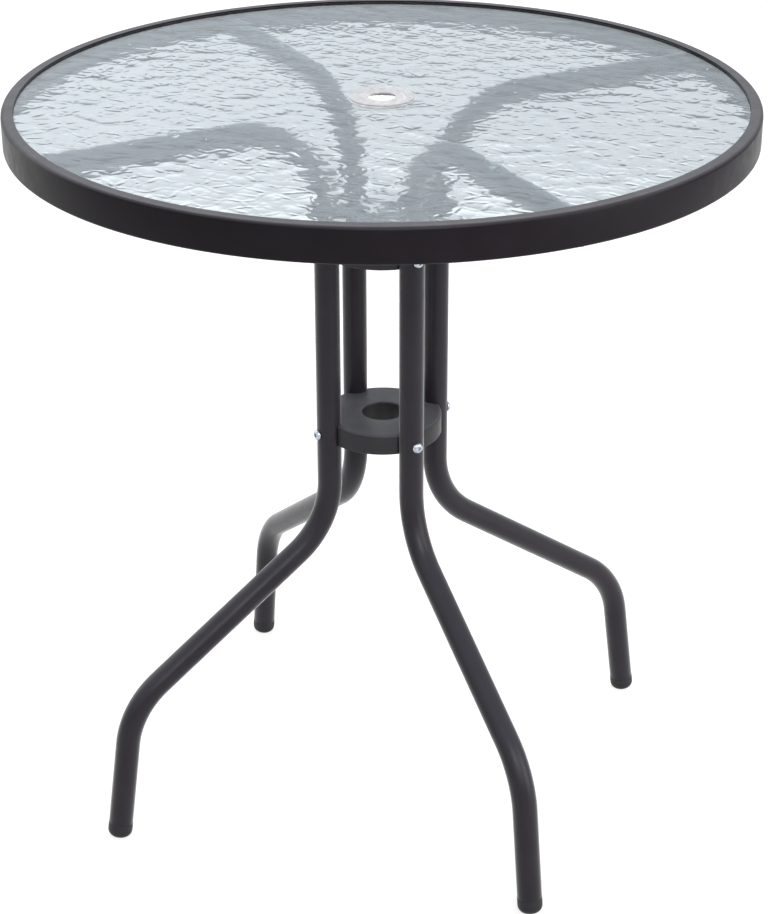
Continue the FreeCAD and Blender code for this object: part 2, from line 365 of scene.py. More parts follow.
def mouldedPlastic(materialName, colour, dustAndTopLight, roughness, grain):
    # Fine spark grain of the mould, and a faint cloudiness from the flow of the plastic
    material, tree, shader = newMaterial(materialName)
    flow = spots(tree, finish["mouldFlow"], detail=4.0, stretch=finish["mouldStretch"])
    # Faces that look up get dust and a painted top light
    tree.links.new(dustedAndToplit(tree, mottled(tree, flow, colour), dustAndTopLight), shader.inputs["Base Color"])
    wear = drifting(tree, spots(tree, finish["mouldWear"]), roughness, finish["roughnessDrift"])
    tree.links.new(wear, shader.inputs["Roughness"])
    shader.inputs["Specular IOR Level"].default_value = finish["mouldGloss"]
    relief(tree, shader, [grainLayer(tree, (grain, grain * finish["mouldDepth"]), detail=2.0)])
    return material


def zincPlate(materialName, roughness):
    # Bright plating with small clouds of duller metal and faint blue where it was passivated
    material, tree, shader = newMaterial(materialName)
    shader.inputs["Metallic"].default_value = 1.0
    cloud = spots(tree, finish["zincCloud"])
    plating = blendColours(tree, between(tree, cloud, 0, 1), finish["zincLight"], finish["zincDull"])
    tree.links.new(plating, shader.inputs["Base Color"])
    tree.links.new(drifting(tree, cloud, roughness, finish["zincDrift"]), shader.inputs["Roughness"])
    relief(tree, shader, [grainLayer(tree, finish["zincGrain"])])
    return material


def translucentPlastic(materialName, colour, roughness, clearness, clearBelow=0.0):
    # Soft vinyl with a cloudy face; below a height its wall is thin and clearer
    material, tree, shader = newMaterial(materialName)
    shader.inputs["Transmission Weight"].default_value = clearness
    shader.inputs["IOR"].default_value = finish["vinylRefraction"]
    cloudy = mapped(tree, heightOf(tree, ownPlace(tree)), (clearBelow - finish["vinylFade"], clearBelow))
    clouds = between(tree, spots(tree, finish["vinylCloud"]), finish["vinylLeastHaze"], 1.0)
    haze = sums(tree, "MULTIPLY", clouds, cloudy)
    tree.links.new(blend(tree, cloudy, finish["vinylThinWall"], 1.0), shader.inputs["Alpha"])
    tree.links.new(blendColours(tree, haze, finish["vinylClear"], colour), shader.inputs["Base Color"])
    tree.links.new(sums(tree, "MULTIPLY", haze, roughness), shader.inputs["Roughness"])
    relief(tree, shader, [grainLayer(tree, finish["vinylGrain"])])
    return material


def siliconeRubber(materialName):
    material, tree, shader = newMaterial(materialName)
    size, depth = finish["siliconeSmear"]
    smear = spots(tree, size)
    colour = blendColours(tree, between(tree, smear, 0, 1), *finish["siliconeColours"])
    tree.links.new(colour, shader.inputs["Base Color"])
    tree.links.new(between(tree, smear, *finish["siliconeRoughness"]), shader.inputs["Roughness"])
    relief(tree, shader, [(smear, depth)])
    return material


# The dust colours also paint a top light on faces that look up: lighter lips, knees and hub tops
rimPaint = powderCoat("rimPowderCoat", colour=(0.0079, 0.0059, 0.0083), dustAndTopLight=(0.058, 0.054, 0.060),
                      roughness=0.36, gloss=0.10)
legPaint = powderCoat("legPowderCoat", colour=(0.0164, 0.0136, 0.0184), dustAndTopLight=(0.038, 0.034, 0.043),
                      roughness=0.36, gloss=0.19, sheen=0.7)
hubPlastic = mouldedPlastic("hubNylon", colour=(0.0172, 0.0158, 0.0180), dustAndTopLight=(0.104, 0.098, 0.106),
                            roughness=0.44, grain=0.0009)
capPlastic = mouldedPlastic("capPolyethylene", colour=(0.015, 0.014, 0.016), dustAndTopLight=(0.03, 0.028, 0.031),
                            roughness=0.48, grain=0.0012)
zinc = zincPlate("brightZinc", roughness=0.22)
ringPlastic = translucentPlastic("frostedVinyl", colour=(0.47, 0.455, 0.467), roughness=0.45,
                                 clearness=0.6, clearBelow=0.7252)
padVinyl = translucentPlastic("clearVinyl", colour=(0.93, 0.94, 0.95), roughness=0.12, clearness=0.95)
silicone = siliconeRubber("blackSilicone")
print("materials made")


# Repeats round the legs

def copiesRound(tree, geometry, count, firstAngle):
    # Turned copies round the upright axis, one for each leg
    step = sums(tree, "DIVIDE", 2 * math.pi, count)
    index = put(tree, "GeometryNodeInputIndex").outputs[0]
    angle = sums(tree, "ADD", sums(tree, "MULTIPLY", index, step), firstAngle)
    points = put(tree, "GeometryNodePoints", {"Count": count}).outputs[0]
    return put(tree, "GeometryNodeInstanceOnPoints", {
        "Points": points, "Instance": geometry, "Rotation": straightUp(tree, angle)}).outputs[0]


def roundTheLegsTree():
    tree, given = newTree("roundTheLegs", [
        ("Count", "Int", table["legCount"]),
        ("First Angle", "Float", table["firstLeg"]),
        ("Material", "Material", None),
    ])
    copies = copiesRound(tree, given["Geometry"], given["Count"], given["First Angle"])
    closeTree(tree, copies, given["Material"])
    return tree


legCopies = roundTheLegsTree()


def roundTheLegs(pieceName, mesh, material, *replaced, angle=35):
    piece = grow(pieceName, legCopies, {"Material": material}, mesh)
    smooth(piece, angle)
    dress(piece, *replaced)


# Glass

glass = {
    "radius": 0.347,
    "holeRadius": 0.023,
    "top": 0.7259,
    "thickness": 0.005,
    "arris": 0.0008,                # ground off all edges at 45 degrees
    "gridPoints": 345,
    "cutMargin": 0.3,               # share of a grid step kept clear of the edges
    "mergeDistance": 1e-5,
    "cell": 0.0175,                 # size of the hammered dimples
    "unevenness": 0.72,             # 0 sets them out like a chessboard
    "softness": 0.14,
    "wander": 0.0025,               # how far noise bends their borders
    "wanderScale": 1.6,             # times that the noise changes over a dimple
    "grain": math.radians(15),
    "stretch": 1.12,                # along the grain
    "cellDepth": 0.00072,
    "doming": 2.0,                  # power of the distance from a dimple's middle
    "grooveWidth": 0.0042,
    "grooveDepth": 0.00021,
    "grooveLength": 0.016,
    "grooveBreaks": (0.38, 0.62),   # noise between which a groove fades
    "grooveLeast": 0.3,             # depth left between the pieces of a groove
    "swellDepth": 0.00008,
    "swellScale": 0.6,
    "edgeFade": 0.006,
    "clearness": 0.94,
    "refraction": 1.5,
    "gloss": 1.0,
    "roughness": 0.015,
    "tints": ((0.79, 0.85, 0.885), (0.82, 0.87, 0.90)),
    "tintSize": 0.05,
}


def dimples(tree, place, sizes, unevenness, feature):
    # Uneven cells in the plane with wandering borders; distances are in shares of a cell
    noise = put(tree, "ShaderNodeTexNoise", {
        "Vector": place, "Scale": sums(tree, "MULTIPLY", sizes, glass["wanderScale"]), "Detail": 1.0},
        noise_dimensions="2D")
    astray = put(tree, "ShaderNodeVectorMath", {
        0: noise.outputs["Color"], 1: [glass["wander"]] * 3, 2: place}, operation="MULTIPLY_ADD").outputs[0]
    turned = put(tree, "ShaderNodeVectorRotate", {"Vector": astray, "Angle": glass["grain"]}).outputs[0]
    cells = put(tree, "ShaderNodeTexVoronoi", {
        "Vector": vectors(tree, "MULTIPLY", turned, (1 / glass["stretch"], 1, 0)),
        "Scale": sizes, "Randomness": unevenness}, feature=feature, voronoi_dimensions="2D")
    if feature == "SMOOTH_F1":
        cells.inputs["Smoothness"].default_value = glass["softness"]
    return cells.outputs["Distance"]


def rippledGlass(materialName):
    # Clear glass; the dimples are in the mesh, this adds the narrow broken grooves between them
    material, tree, shader = newMaterial(materialName)
    shader.inputs["Transmission Weight"].default_value = glass["clearness"]
    shader.inputs["IOR"].default_value = glass["refraction"]
    shader.inputs["Specular IOR Level"].default_value = glass["gloss"]
    shader.inputs["Roughness"].default_value = glass["roughness"]
    tint = blendColours(tree, between(tree, spots(tree, glass["tintSize"]), 0, 1), *glass["tints"])
    tree.links.new(tint, shader.inputs["Base Color"])
    place = ownPlace(tree)
    toBorder = dimples(tree, place, 1 / glass["cell"], glass["unevenness"], "DISTANCE_TO_EDGE")
    grooveShare = glass["grooveWidth"] / glass["cell"]
    rise = mapped(tree, toBorder, (0.0, grooveShare), (1.0, 0.0), curve="SMOOTHSTEP")
    broken = mapped(tree, spots(tree, glass["grooveLength"], 1.0), glass["grooveBreaks"],
                    (-glass["grooveLeast"], -1.0))
    groove = sums(tree, "MULTIPLY", rise, broken)
    below = sums(tree, "LESS_THAN", heightOf(tree, place), glass["top"] - glass["thickness"] / 2)
    relief(tree, shader, [(sums(tree, "MULTIPLY", groove, below), glass["grooveDepth"])])
    return material


def hammeredPaneTree():
    # A fine grid cut to a ring, its underside hammered, its top flat
    tree, given = newTree("hammeredPane", [
        ("Radius", "Float", glass["radius"]),
        ("Hole Radius", "Float", glass["holeRadius"]),
        ("Top", "Float", glass["top"]),
        ("Thickness", "Float", glass["thickness"]),
        ("Arris", "Float", glass["arris"]),
        ("Grid Points", "Int", glass["gridPoints"]),
        ("Cell", "Float", glass["cell"]),
        ("Unevenness", "Float", glass["unevenness"]),
        ("Cell Depth", "Float", glass["cellDepth"]),
        ("Swell Depth", "Float", glass["swellDepth"]),
        ("Edge Fade", "Float", glass["edgeFade"]),
        ("Material", "Material", None),
    ])
    side = sums(tree, "MULTIPLY", given["Radius"], 2.0)
    grid = put(tree, "GeometryNodeMeshGrid", {
        "Size X": side, "Size Y": side,
        "Vertices X": given["Grid Points"], "Vertices Y": given["Grid Points"]})
    place = put(tree, "GeometryNodeInputPosition").outputs[0]
    flat = vectors(tree, "MULTIPLY", place, (1, 1, 0))
    distance = lengthOf(tree, flat)
    margin = sums(tree, "MULTIPLY", sums(tree, "DIVIDE", side, given["Grid Points"]), glass["cutMargin"])
    outerRing = sums(tree, "SUBTRACT", given["Radius"], given["Arris"])
    innerRing = sums(tree, "ADD", given["Hole Radius"], given["Arris"])
    outside = sums(tree, "GREATER_THAN", distance, sums(tree, "SUBTRACT", outerRing, margin))
    inHole = sums(tree, "LESS_THAN", distance, sums(tree, "ADD", innerRing, margin))
    ring = put(tree, "GeometryNodeDeleteGeometry", {
        "Geometry": grid.outputs[0], "Selection": sums(tree, "MAXIMUM", outside, inHole)}, domain="FACE")

    # The stepped edges of the cut, with a face on one side only, are drawn out to the two circles
    neighbours = put(tree, "GeometryNodeInputMeshEdgeNeighbors").outputs[0]
    isEdge = sums(tree, "LESS_THAN", neighbours, 1.5)
    middle = sums(tree, "MULTIPLY", sums(tree, "ADD", given["Radius"], given["Hole Radius"]), 0.5)
    isOuter = sums(tree, "GREATER_THAN", distance, middle)
    direction = put(tree, "ShaderNodeVectorMath", {0: flat}, operation="NORMALIZE").outputs[0]
    onCircle = stretched(tree, direction, blend(tree, isOuter, innerRing, outerRing))
    rounded = put(tree, "GeometryNodeSetPosition", {
        "Geometry": ring.outputs[0], "Selection": isEdge, "Position": onCircle})

    # Dimples of uneven size, fading out towards both edges
    sizes = sums(tree, "DIVIDE", 1.0, given["Cell"])
    fromMiddle = dimples(tree, flat, sizes, given["Unevenness"], "SMOOTH_F1")
    dome = sums(tree, "POWER", fromMiddle, glass["doming"])
    swell = put(tree, "ShaderNodeTexNoise", {
        "Vector": flat, "Scale": sums(tree, "MULTIPLY", sizes, glass["swellScale"]), "Detail": 1.0},
        noise_dimensions="2D")
    wave = sums(tree, "ADD", sums(tree, "MULTIPLY", dome, given["Cell Depth"]),
                sums(tree, "MULTIPLY", swell.outputs[0], given["Swell Depth"]))
    toRim = sums(tree, "SUBTRACT", given["Radius"], distance)
    toHole = sums(tree, "SUBTRACT", distance, given["Hole Radius"])
    fade = mapped(tree, sums(tree, "MINIMUM", toRim, toHole), (0.0, given["Edge Fade"]), curve="SMOOTHSTEP")
    dent = straightUp(tree, sums(tree, "MULTIPLY", wave, fade))
    hammered = put(tree, "GeometryNodeSetPosition", {"Geometry": rounded.outputs[0], "Offset": dent})

    # The edges go up as an arris, a wall and another arris, and a flat face fills the top
    outOrIn = sums(tree, "SUBTRACT", sums(tree, "MULTIPLY", isOuter, 2.0), 1.0)
    outwards = stretched(tree, direction, sums(tree, "MULTIPLY", outOrIn, given["Arris"]))
    rise = straightUp(tree, given["Arris"])
    wall = sums(tree, "SUBTRACT", given["Thickness"], sums(tree, "MULTIPLY", given["Arris"], 2.0))
    steps = [
        vectors(tree, "ADD", rise, outwards),
        straightUp(tree, wall),
        vectors(tree, "SUBTRACT", rise, outwards),
    ]
    body, edge = hammered.outputs[0], isEdge
    for offset in steps:
        grown = put(tree, "GeometryNodeExtrudeMesh", {
            "Mesh": body, "Selection": edge, "Offset": offset, "Offset Scale": 1.0}, mode="EDGES")
        body, edge = grown.outputs["Mesh"], grown.outputs["Top"]
    loops = put(tree, "GeometryNodeMeshToCurve", {"Mesh": body, "Selection": edge})
    cover = put(tree, "GeometryNodeFillCurve", {"Curve": loops.outputs[0]}, mode="TRIANGLES")
    raised = put(tree, "GeometryNodeTransform", {
        "Geometry": cover.outputs[0], "Translation": straightUp(tree, given["Thickness"])})
    whole = put(tree, "GeometryNodeJoinGeometry")
    tree.links.new(body, whole.inputs[0])
    tree.links.new(raised.outputs[0], whole.inputs[0])
    merged = put(tree, "GeometryNodeMergeByDistance", {
        "Geometry": whole.outputs[0], "Distance": glass["mergeDistance"]})
    underside = straightUp(tree, sums(tree, "SUBTRACT", given["Top"], given["Thickness"]))
    seated = put(tree, "GeometryNodeTransform", {"Geometry": merged.outputs[0], "Translation": underside})
    closeTree(tree, seated.outputs[0], given["Material"])
    return tree


hammeredPane = grow("hammeredPane", hammeredPaneTree(), {"Material": rippledGlass("rippledGlass")})
tidyMesh(hammeredPane.data)
smooth(hammeredPane, angle=40)
dress(hammeredPane, "glass_top")
print("glass made", len(hammeredPane.data.polygons))


# Legs

leg = {
    "radius": 0.012,
    "bend": 0.088,
    "column": 0.0595,               # upright run, from the middle of the table
    "waist": 0.297,
    "knee": (0.282, 0.142),
    "foot": 0.302,
    "cap": 0.015,                   # end of the tube to the floor
    "armDrop": 0.002,               # top of the arm below the glass
    "armEnd": 0.34799,
    "sides": 56,
    "bendSteps": 28,
}
underGlass = glass["top"] - glass["thickness"]
armHeight = underGlass - leg["armDrop"] - leg["radius"]
footPlace = Vector((leg["foot"], 0, 0))
shin = (Vector((leg["knee"][0], 0, leg["knee"][1])) - footPlace).normalized()
tubeEnd = footPlace + shin * leg["cap"]


def bentTubeTree():
    tree, given = newTree("bentTube", [
        ("Radius", "Float", leg["radius"]),
        ("Bend", "Float", leg["bend"]),
        ("Bend Steps", "Int", leg["bendSteps"]),
        ("Sides", "Int", leg["sides"]),
        ("Material", "Material", None),
    ])
    path = put(tree, "GeometryNodeFilletCurve", {
        "Curve": given["Geometry"], "Count": given["Bend Steps"], "Radius": given["Bend"]}, mode="POLY")
    section = put(tree, "GeometryNodeCurvePrimitiveCircle", {
        "Resolution": given["Sides"], "Radius": given["Radius"]})
    tube = put(tree, "GeometryNodeCurveToMesh", {
        "Curve": path.outputs[0], "Profile Curve": section.outputs[0], "Fill Caps": True})
    closeTree(tree, tube.outputs[0], given["Material"])
    return tree


route = polyCurve("legRoute", [
    (leg["armEnd"], 0, armHeight), (leg["column"], 0, armHeight), (leg["column"], 0, leg["waist"]),
    (leg["knee"][0], 0, leg["knee"][1]), tuple(tubeEnd)])
oneLeg = grow("oneLeg", bentTubeTree(), {"Material": legPaint}, route)
tidyMesh(oneLeg.data)
roundTheLegs("legTubes", oneLeg.data, legPaint, *["leg_" + name for name in legNames])
bpy.data.objects.remove(oneLeg)
print("legs made")


# Rim

rim = {
    "radius": 0.350,
    "height": 0.033,
    "steel": 0.0015,
    "lip": 0.0115,
    "lipRound": 0.0004,
    "returnWidth": 0.006,
    "returnRound": 0.0003,
    "topRound": 0.004,
    "footRound": 0.003,
    "steps": 384,
    "notchGap": 0.0006,             # round an arm, where it passes the return
    "notchDepth": 0.009,            # height of the cut, centred on the lower edge
}
rimWall = rim["radius"] - rim["steel"]


def notchedRimTree():
    # Takes the turned channel and cuts its return open for each arm
    tree, given = newTree("notchedRim", [
        ("Count", "Int", table["legCount"]),
        ("First Angle", "Float", table["firstLeg"]),
        ("Inside Radius", "Float", rimWall),
        ("Notch Width", "Float", 2 * (leg["radius"] + rim["notchGap"])),
        ("Notch Depth", "Float", rim["notchDepth"]),
        ("Height", "Float", table["height"] - rim["height"]),
        ("Material", "Material", None),
    ])
    length = sums(tree, "MULTIPLY", rim["returnWidth"], 2.0)
    size = put(tree, "ShaderNodeCombineXYZ", {
        "X": length, "Y": given["Notch Width"], "Z": given["Notch Depth"]})
    block = put(tree, "GeometryNodeMeshCube", {"Size": size.outputs[0]})
    # The block ends where the round arm meets the wall of the rim
    half = sums(tree, "DIVIDE", given["Notch Width"], 2.0)
    squares = [sums(tree, "POWER", given["Inside Radius"], 2.0), sums(tree, "POWER", half, 2.0)]
    reach = sums(tree, "SQRT", sums(tree, "SUBTRACT", *squares))
    middle = sums(tree, "SUBTRACT", reach, sums(tree, "DIVIDE", length, 2.0))
    place = put(tree, "ShaderNodeCombineXYZ", {"X": middle, "Z": given["Height"]}).outputs[0]
    cutter = put(tree, "GeometryNodeTransform", {"Geometry": block.outputs[0], "Translation": place})
    cutters = copiesRound(tree, cutter.outputs[0], given["Count"], given["First Angle"])
    loose = put(tree, "GeometryNodeRealizeInstances", {"Geometry": cutters})
    cut = put(tree, "GeometryNodeMeshBoolean", {"Mesh 1": given["Geometry"], "Mesh 2": loose.outputs[0]},
              operation="DIFFERENCE", solver="EXACT")
    closeTree(tree, cut.outputs[0], given["Material"])
    return tree


def makeRim():
    top = table["height"]
    base = top - rim["height"]
    lipEdge = rim["radius"] - rim["lip"]
    returnEdge = rim["radius"] - rim["returnWidth"]
    outline = roundedOutline([
        (rim["radius"], base, rim["footRound"]),
        (rim["radius"], top, rim["topRound"]),
        (lipEdge, top, rim["lipRound"]),
        (lipEdge, top - rim["steel"], rim["lipRound"]),
        (rimWall, top - rim["steel"], rim["topRound"] - rim["steel"]),
        (rimWall, base + rim["steel"], rim["footRound"] - rim["steel"]),
        (returnEdge, base + rim["steel"], rim["returnRound"]),
        (returnEdge, base, rim["returnRound"]),
    ])
    channel = turnedMesh("rimChannel", outline, rim["steps"], closed=True)
    return grow("rolledRim", notchedRimTree(), {"Material": rimPaint}, channel)


rolledRim = makeRim()
tidyMesh(rolledRim.data)
smooth(rolledRim, angle=40)
dress(rolledRim, "rim")
print("rim made", len(rolledRim.data.polygons))


# Silicone between glass and rim

seal = {
    "setback": 0.0005,
    "wallGap": 0.0003,
    "beadWidth": 0.0045,
    "beadHeight": 0.0017,
    "beadRound": 0.0004,
    "steps": 360,
}


def makeSeal():
    underLip = table["height"] - rim["steel"]
    outer = rimWall - seal["wallGap"]
    bend = rim["topRound"] - rim["steel"]
    lipEdge = rim["radius"] - rim["lip"] + seal["setback"]
    groundEdge = glass["radius"] - glass["arris"]
    edge = glass["radius"] + table["playGap"]
    outline = roundedOutline([
        (lipEdge, underLip, 0),
        (outer, underLip, bend),
        (outer, underGlass - seal["beadHeight"], seal["beadRound"]),
        (rimWall - seal["beadWidth"], underGlass - table["playGap"], 0),
        (groundEdge, underGlass - table["playGap"], 0),
        (edge, underGlass + glass["arris"], 0),
        (edge, glass["top"] - glass["arris"], 0),
        (groundEdge, glass["top"] + table["playGap"], 0),
        (lipEdge, glass["top"] + table["playGap"], 0),
    ], arcSteps=4)
    return addPiece("siliconeSeal", turnedMesh("siliconeSeal", outline, seal["steps"], closed=True))


siliconeSeal = makeSeal()
smooth(siliconeSeal, angle=50)
dress(siliconeSeal, "glass_seal", material=silicone)


# Umbrella ring

ring = {
    "flangeRadius": 0.0315,
    "flangeThickness": 0.0018,
    "flangeRound": 0.0008,
    "poleRadius": 0.013,
    "webThickness": 0.0016,
    "webStep": 0.0005,
    "webRound": 0.0015,             # in the corner between web and collar
    "collarGap": 0.0004,
    "collarWall": 0.002,
    "collarBelow": 0.006,
    "collarRound": 0.0004,
    "snap": 0.001,
    "edgeRound": 0.0003,
    "underRound": 0.0002,
    "steps": 160,
}


def makeUmbrellaRing():
    top = glass["top"] + ring["flangeThickness"]
    web = top - ring["webStep"]
    underWeb = web - ring["webThickness"]
    collar = glass["holeRadius"] - ring["collarGap"]
    inside = collar - ring["collarWall"]
    snapTop = underGlass - ring["collarGap"]
    end = underGlass - ring["collarBelow"]
    outline = roundedOutline([
        (ring["poleRadius"], web, ring["edgeRound"]),
        (collar - ring["webStep"], web, ring["edgeRound"]),
        (collar, top, ring["edgeRound"]),
        (ring["flangeRadius"], top, ring["flangeRound"]),
        (ring["flangeRadius"], glass["top"], ring["underRound"]),
        (collar, glass["top"], 0),
        (collar, snapTop, 0),
        (collar + ring["snap"], snapTop - ring["snap"], ring["edgeRound"]),
        (collar - ring["snap"], end, ring["collarRound"]),
        (inside, end, ring["collarRound"]),
        (inside, underWeb, ring["webRound"]),
        (ring["poleRadius"], underWeb, ring["edgeRound"]),
    ], arcSteps=4)
    return addPiece("poleRing", turnedMesh("poleRing", outline, ring["steps"], closed=True))


poleRing = makeUmbrellaRing()
smooth(poleRing, angle=45)
dress(poleRing, "umbrella_ring", material=ringPlastic)
print("seal and umbrella ring made")


# Foot caps

cap = {
    "round": 0.007,
    "sole": 0.0004,
    "lip": 0.0002,                  # the moulding is a touch proud of the paint
    "seatGap": 0.0002,
    "edgeRound": 0.0003,
    "plugInset": 0.0022,            # the tube's wall and some play
    "plugLength": 0.016,
    "plugRound": 0.001,
    "steps": 56,
}


def makeCaps():
    depth = leg["cap"] + cap["sole"]
    radius = leg["radius"] + cap["lip"]
    plug = leg["radius"] - cap["plugInset"]
    outline = roundedOutline([
        (0, -depth, 0),
        (radius, -depth, cap["round"]),
        (radius, -cap["seatGap"], cap["edgeRound"]),
        (plug, -cap["seatGap"], 0),
        (plug, cap["plugLength"], cap["plugRound"]),
        (0, cap["plugLength"], 0),
    ], arcSteps=10)
    mesh = turnedMesh("capBlank", outline, cap["steps"])
    mesh.transform(Matrix.Translation(tubeEnd) @ shin.to_track_quat("Z", "Y").to_matrix().to_4x4())
    for corner in mesh.vertices:
        corner.co.z = max(corner.co.z, 0.0)
    return mesh


roundTheLegs("footCaps", makeCaps(), capPlastic, *["foot_cap_" + name for name in legNames])
print("foot caps made")


# Bolts and screws

bolt = {
    "radius": 0.003,
    "headRadius": 0.00525,
    "headHeight": 0.0033,
    "headRound": 0.0027,
    "edgeRound": 0.0002,
    "neck": 0.0002,                 # plain shank below the head
    "socket": 0.004,                # across the flats
    "socketDepth": 0.0019,
    "socketFlare": 1.06,
    "flareDepth": 0.00015,
    "drillPoint": 0.0005,
    "pitch": 0.001,
    "threadDepth": 0.00035,
    "threadLength": 0.012,
    "threadRings": 6,               # for each turn of the thread
    "startRings": 4,                # over which the thread grows from the tip
    "tip": 0.0008,
    "steps": 48,
    "hubLength": 0.040,
    "screwLength": 0.009,
    "screwInset": 0.020,            # from the rim's wall
}
hubBolts = {                        # CAD node, then the piece and its height
    "upper_hub_bolts": ("upperHubBolts", 0.587),
    "lower_hub_bolts": ("lowerHubBolts", 0.3955),
}


def hexagonReach(angle, acrossFlats):
    # Distance from the middle of a hexagon to its side at an angle
    turned = (angle + math.pi / 6) % (math.pi / 3) - math.pi / 6
    return acrossFlats / 2 / math.cos(turned)


def threadRings(length, angles):
    # Rings of (radius, height) up the shank, which rise and fall as the thread winds
    rings = []
    perTurn = bolt["threadRings"]
    count = int(min(bolt["threadLength"], length - bolt["tip"]) / bolt["pitch"] * perTurn)
    for number in range(count):
        height = -length + bolt["tip"] + number * bolt["pitch"] / perTurn
        fade = min(1.0, (count - number) / perTurn, (number + 1) / bolt["startRings"])
        ring = []
        for angle in angles:
            phase = (height / bolt["pitch"] - angle / (2 * math.pi)) % 1.0
            depth = abs(2 * phase - 1) * bolt["threadDepth"] * fade
            ring.append((bolt["radius"] - depth, height))
        rings.append(ring)
    return rings


def boltMesh(length):
    # Rings from the tip of the shank over the head and down into its hexagonal socket
    steps = bolt["steps"]
    angles = anglesOf(steps)
    top = bolt["headHeight"]
    bottom = top - bolt["socketDepth"]
    rings = [[(bolt["radius"] - bolt["tip"], -length)] * steps]
    rings += threadRings(length, angles)
    head = roundedOutline([
        (bolt["radius"], -bolt["neck"], 0),
        (bolt["radius"], 0, 0),
        (bolt["headRadius"], 0, bolt["edgeRound"]),
        (bolt["headRadius"], top, bolt["headRound"]),
        (0, top, 0),
    ], arcSteps=8)
    rings += [[(point.x, point.y)] * steps for point in head if point.x > onAxis]
    for flare, height in ((bolt["socketFlare"], top), (1.0, top - bolt["flareDepth"]), (1.0, bottom)):
        rings.append([(hexagonReach(angle, bolt["socket"]) * flare, height) for angle in angles])
    shape = bmesh.new()
    made = []
    for ring in rings:
        made.append([shape.verts.new((radius * math.cos(angle), radius * math.sin(angle), height))
                     for (radius, height), angle in zip(ring, angles)])
    made.append([shape.verts.new((0, 0, bottom - bolt["drillPoint"]))] * steps)
    joinRings(shape, zip(made, made[1:]))
    shape.faces.new(list(reversed(made[0])))
    return tidyMesh(finishedMesh("boltBlank", shape))


def makeBolts(pieceName, node, length, place, turn):
    blank = boltMesh(length)
    blank.transform(Matrix.Translation(place) @ turn)
    roundTheLegs(pieceName, blank, zinc, node, angle=32)


headOutwards = Matrix.Rotation(math.pi / 2, 4, "Y")
headDown = Matrix.Rotation(math.pi, 4, "X")
for boltNode, (boltsName, boltHeight) in hubBolts.items():
    boltPlace = Vector((leg["column"] + leg["radius"], 0, boltHeight))
    makeBolts(boltsName, boltNode, bolt["hubLength"], boltPlace, headOutwards)
screwPlace = Vector((rimWall - bolt["screwInset"], 0, armHeight - leg["radius"]))
makeBolts("armScrews", "arm_screws", bolt["screwLength"], screwPlace, headDown)
print("bolts made")


# Pads between arms and glass

pad = {
    "radius": 0.0055,
    "place": 0.209,
    "rings": (0, 0.25, 0.5, 0.75, 0.95, 1.0),   # shares of the radius, on the side of the arm
    "side": 0.7,                    # share of the height where the top starts to narrow
    "topRadius": 0.92,              # share of the radius
    "steps": 32,
}


def makePads():
    # Turned with a height of 1, then fitted between the round arm and the glass
    rows = [Vector((pad["radius"] * share, 0.0)) for share in pad["rings"]]
    rows += [Vector((pad["radius"], pad["side"])), Vector((pad["radius"] * pad["topRadius"], 1.0))]
    rows.append(Vector((0, 1.0)))
    mesh = turnedMesh("padBlank", rows, pad["steps"])
    for corner in mesh.vertices:
        seat = armHeight + math.sqrt(leg["radius"] ** 2 - corner.co.y ** 2) + table["playGap"]
        corner.co.z = seat + (underGlass - table["playGap"] - seat) * corner.co.z
        corner.co.x += pad["place"]
    return mesh


roundTheLegs("glassPads", makePads(), padVinyl, "glass_pads")
print("pads made")


# Hubs, nuts and stubs keep their CAD shape

def smoothCopy(node, pieceName, material):
    # A merged copy of a CAD node, so that its rounds shade smoothly
    piece = addPiece(pieceName, tidyMesh(nodes[node].data.copy(), merge=2e-6))
    smooth(piece, angle=30)
    dress(piece, node, material=material)


smoothCopy("upper_hub", "upperHubMoulding", hubPlastic)
smoothCopy("lower_hub", "lowerHubMoulding", hubPlastic)
smoothCopy("upper_hub_nuts", "upperHubNuts", zinc)
smoothCopy("lower_hub_nuts", "lowerHubNuts", zinc)
for stubName in legNames:
    paint(nodes["rim_stub_" + stubName], rimPaint)
print("hubs made")


# Floor, light and camera

studio = {
    "floorRadius": 9.0,
    "floorSteps": 96,
    "floorShade": 0.8,              # for light that bounces up to the table
    "floorSeen": 0.35,              # where it is looked at, below its glow
    "floorGlow": (0.75, 1.0),       # near the table and far from it
    "floorSpan": (1.0, 3.5),        # distances that count as near and far
    # Distance on the floor and its glow, as seen through the glass: painted bands of light and shade, which
    # give the dimples of the glass lit and shaded sides
    "paintedLightAndShadeThroughGlass": [(0.7, 0.74), (1.3, 0.84), (1.8, 0.26), (2.8, 0.54), (3.7, 0.22)],
    # Painted shade: through the glass the world is darker than the white backdrop
    "shadedWorldThroughGlass": 0.45,
    "ambient": 0.32,
    "wall": (0.53, 1.42),           # in reflections only: at the horizon and above wallTop
    "wallTop": 0.4,
    "wallSlope": 0.2,               # share gained to the left and lost to the right
    "wallSides": 0.3,               # how far to both sides the slope runs
    "wallColour": (0.86, 0.945, 1.0),
    "leftOfShot": (-0.953, -0.302, 0.0),
    "middle": (0, 0, 0.4),
}
lamps = [                           # name, place, size, watts
    ("topSoftbox", (-0.3, 0.9, 2.6), (2.4, 2.0), 75.0),
    ("leftSoftbox", (-2.5, 0.4, 1.2), (1.4, 2.0), 12.0),
    ("rightSoftbox", (2.5, -0.4, 1.2), (1.6, 2.0), 39.0),
    ("frontSoftbox", (1.2, -2.3, 2.3), (1.8, 1.2), 46.0),
]


def seenDirectly(tree):
    # 1 for rays from the camera, in a reflection or through glass
    path = put(tree, "ShaderNodeLightPath").outputs
    both = sums(tree, "MAXIMUM", path["Is Camera Ray"], path["Is Glossy Ray"])
    return sums(tree, "MAXIMUM", both, path["Is Transmission Ray"])


